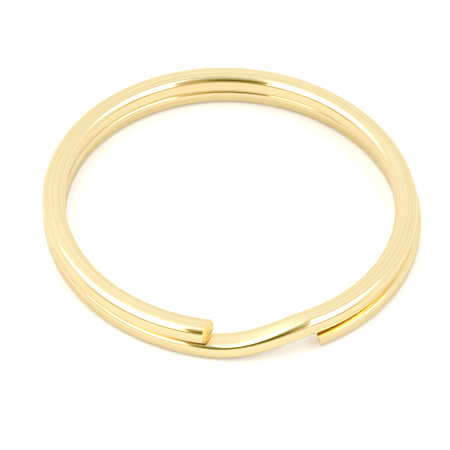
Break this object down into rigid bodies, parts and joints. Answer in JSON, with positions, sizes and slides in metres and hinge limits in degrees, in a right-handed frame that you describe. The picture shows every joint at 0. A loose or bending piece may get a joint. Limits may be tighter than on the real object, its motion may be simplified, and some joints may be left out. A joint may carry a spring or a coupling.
{
  "type": "split key ring",
  "caption": "Gold-coloured split key ring: spring wire wound into two coils with a stepped crossover, whose cut ends prise apart to take a key.",
  "frame": {"origin": "centre of the ring, halfway between its top and bottom faces", "axes": "+Z along the ring's axis, out of the face with the upper cut end; -Y towards the middle of the crossover; +X to the right, seen from above with the crossover nearest"},
  "size_m": [0.0304, 0.0303, 0.003],
  "materials": {
    "gold_plated_wire": "polished gold-coloured plating over drawn steel wire"
  },
  "bodies": {
    "crossover_and_seated_coils": {"crossover": "gold_plated_wire", "upper_5_oclock": "gold_plated_wire", "upper_4_oclock": "gold_plated_wire", "upper_3_oclock": "gold_plated_wire", "upper_2_oclock": "gold_plated_wire", "upper_1_oclock": "gold_plated_wire", "lower_7_oclock": "gold_plated_wire", "lower_8_oclock": "gold_plated_wire", "lower_9_oclock": "gold_plated_wire", "lower_10_oclock": "gold_plated_wire", "lower_11_oclock": "gold_plated_wire"},
    "upper_12_oclock": {"upper_12_oclock": "gold_plated_wire"},
    "upper_11_oclock": {"upper_11_oclock": "gold_plated_wire"},
    "upper_10_oclock": {"upper_10_oclock": "gold_plated_wire"},
    "upper_9_oclock": {"upper_9_oclock": "gold_plated_wire"},
    "upper_8_oclock": {"upper_8_oclock": "gold_plated_wire"},
    "upper_free_end": {"upper_free_end": "gold_plated_wire"},
    "lower_12_oclock": {"lower_12_oclock": "gold_plated_wire"},
    "lower_1_oclock": {"lower_1_oclock": "gold_plated_wire"},
    "lower_2_oclock": {"lower_2_oclock": "gold_plated_wire"},
    "lower_3_oclock": {"lower_3_oclock": "gold_plated_wire"},
    "lower_4_oclock": {"lower_4_oclock": "gold_plated_wire"},
    "lower_free_end": {"lower_free_end": "gold_plated_wire"}
  },
  "joints": [
    {"name": "upper_end_lift", "type": "hinge", "parent": "crossover_and_seated_coils", "child": "upper_12_oclock", "pos_m": [0.00348, 0.01363, 0.00076], "axis": [-0.9612, 0.276, 0], "range_deg": [0, 1.76], "stiffness_Nm_per_rad": 0.4},
    {"name": "upper_11_oclock_bend", "type": "hinge", "parent": "upper_12_oclock", "child": "upper_11_oclock", "pos_m": [-0.00373, 0.01363, 0.00076], "axis": [-0.9998, 0.0214, 0], "range_deg": [0, 1.7], "stiffness_Nm_per_rad": 0.01},
    {"name": "upper_10_oclock_bend", "type": "hinge", "parent": "upper_11_oclock", "child": "upper_10_oclock", "pos_m": [-0.00999, 0.01008, 0.00076], "axis": [-0.9721, -0.2346, 0], "range_deg": [0, 1.52], "stiffness_Nm_per_rad": 0.01},
    {"name": "upper_9_oclock_bend", "type": "hinge", "parent": "upper_10_oclock", "child": "upper_9_oclock", "pos_m": [-0.01368, 0.00389, 0.00076], "axis": [-0.88, -0.4751, 0], "range_deg": [0, 1.24], "stiffness_Nm_per_rad": 0.01},
    {"name": "upper_8_oclock_bend", "type": "hinge", "parent": "upper_9_oclock", "child": "upper_8_oclock", "pos_m": [-0.01383, -0.00331, 0.00076], "axis": [-0.7295, -0.684, 0], "range_deg": [0, 0.881], "stiffness_Nm_per_rad": 0.01},
    {"name": "upper_free_end_bend", "type": "hinge", "parent": "upper_8_oclock", "child": "upper_free_end", "pos_m": [-0.01041, -0.00964, 0.00076], "axis": [-0.5306, -0.8476, 0], "range_deg": [0, 0.46], "stiffness_Nm_per_rad": 0.01},
    {"name": "lower_end_drop", "type": "hinge", "parent": "crossover_and_seated_coils", "child": "lower_12_oclock", "pos_m": [-0.00351, 0.01378, -0.00076], "axis": [0.9612, 0.276, 0], "range_deg": [0, 1.74], "stiffness_Nm_per_rad": 0.4},
    {"name": "lower_1_oclock_bend", "type": "hinge", "parent": "lower_12_oclock", "child": "lower_1_oclock", "pos_m": [0.00376, 0.01378, -0.00076], "axis": [0.9998, 0.0214, 0], "range_deg": [0, 1.69], "stiffness_Nm_per_rad": 0.01},
    {"name": "lower_2_oclock_bend", "type": "hinge", "parent": "lower_1_oclock", "child": "lower_2_oclock", "pos_m": [0.01009, 0.01018, -0.00076], "axis": [0.9721, -0.2346, 0], "range_deg": [0, 1.51], "stiffness_Nm_per_rad": 0.01},
    {"name": "lower_3_oclock_bend", "type": "hinge", "parent": "lower_2_oclock", "child": "lower_3_oclock", "pos_m": [0.01382, 0.00393, -0.00076], "axis": [0.88, -0.4751, 0], "range_deg": [0, 1.23], "stiffness_Nm_per_rad": 0.01},
    {"name": "lower_4_oclock_bend", "type": "hinge", "parent": "lower_3_oclock", "child": "lower_4_oclock", "pos_m": [0.01398, -0.00334, -0.00076], "axis": [0.7295, -0.684, 0], "range_deg": [0, 0.871], "stiffness_Nm_per_rad": 0.01},
    {"name": "lower_free_end_bend", "type": "hinge", "parent": "lower_4_oclock", "child": "lower_free_end", "pos_m": [0.01052, -0.00975, -0.00076], "axis": [0.5306, -0.8476, 0], "range_deg": [0, 0.456], "stiffness_Nm_per_rad": 0.01}
  ],
  "couplings": [
    {"joint": "upper_11_oclock_bend", "follows": "upper_end_lift", "ratio": 0.96137},
    {"joint": "upper_10_oclock_bend", "follows": "upper_end_lift", "ratio": 0.85899},
    {"joint": "upper_9_oclock_bend", "follows": "upper_end_lift", "ratio": 0.69965},
    {"joint": "upper_8_oclock_bend", "follows": "upper_end_lift", "ratio": 0.49392},
    {"joint": "upper_free_end_bend", "follows": "upper_end_lift", "ratio": 0.25543},
    {"joint": "lower_1_oclock_bend", "follows": "lower_end_drop", "ratio": 0.96137},
    {"joint": "lower_2_oclock_bend", "follows": "lower_end_drop", "ratio": 0.85899},
    {"joint": "lower_3_oclock_bend", "follows": "lower_end_drop", "ratio": 0.69965},
    {"joint": "lower_4_oclock_bend", "follows": "lower_end_drop", "ratio": 0.49392},
    {"joint": "lower_free_end_bend", "follows": "lower_end_drop", "ratio": 0.25543}
  ]
}
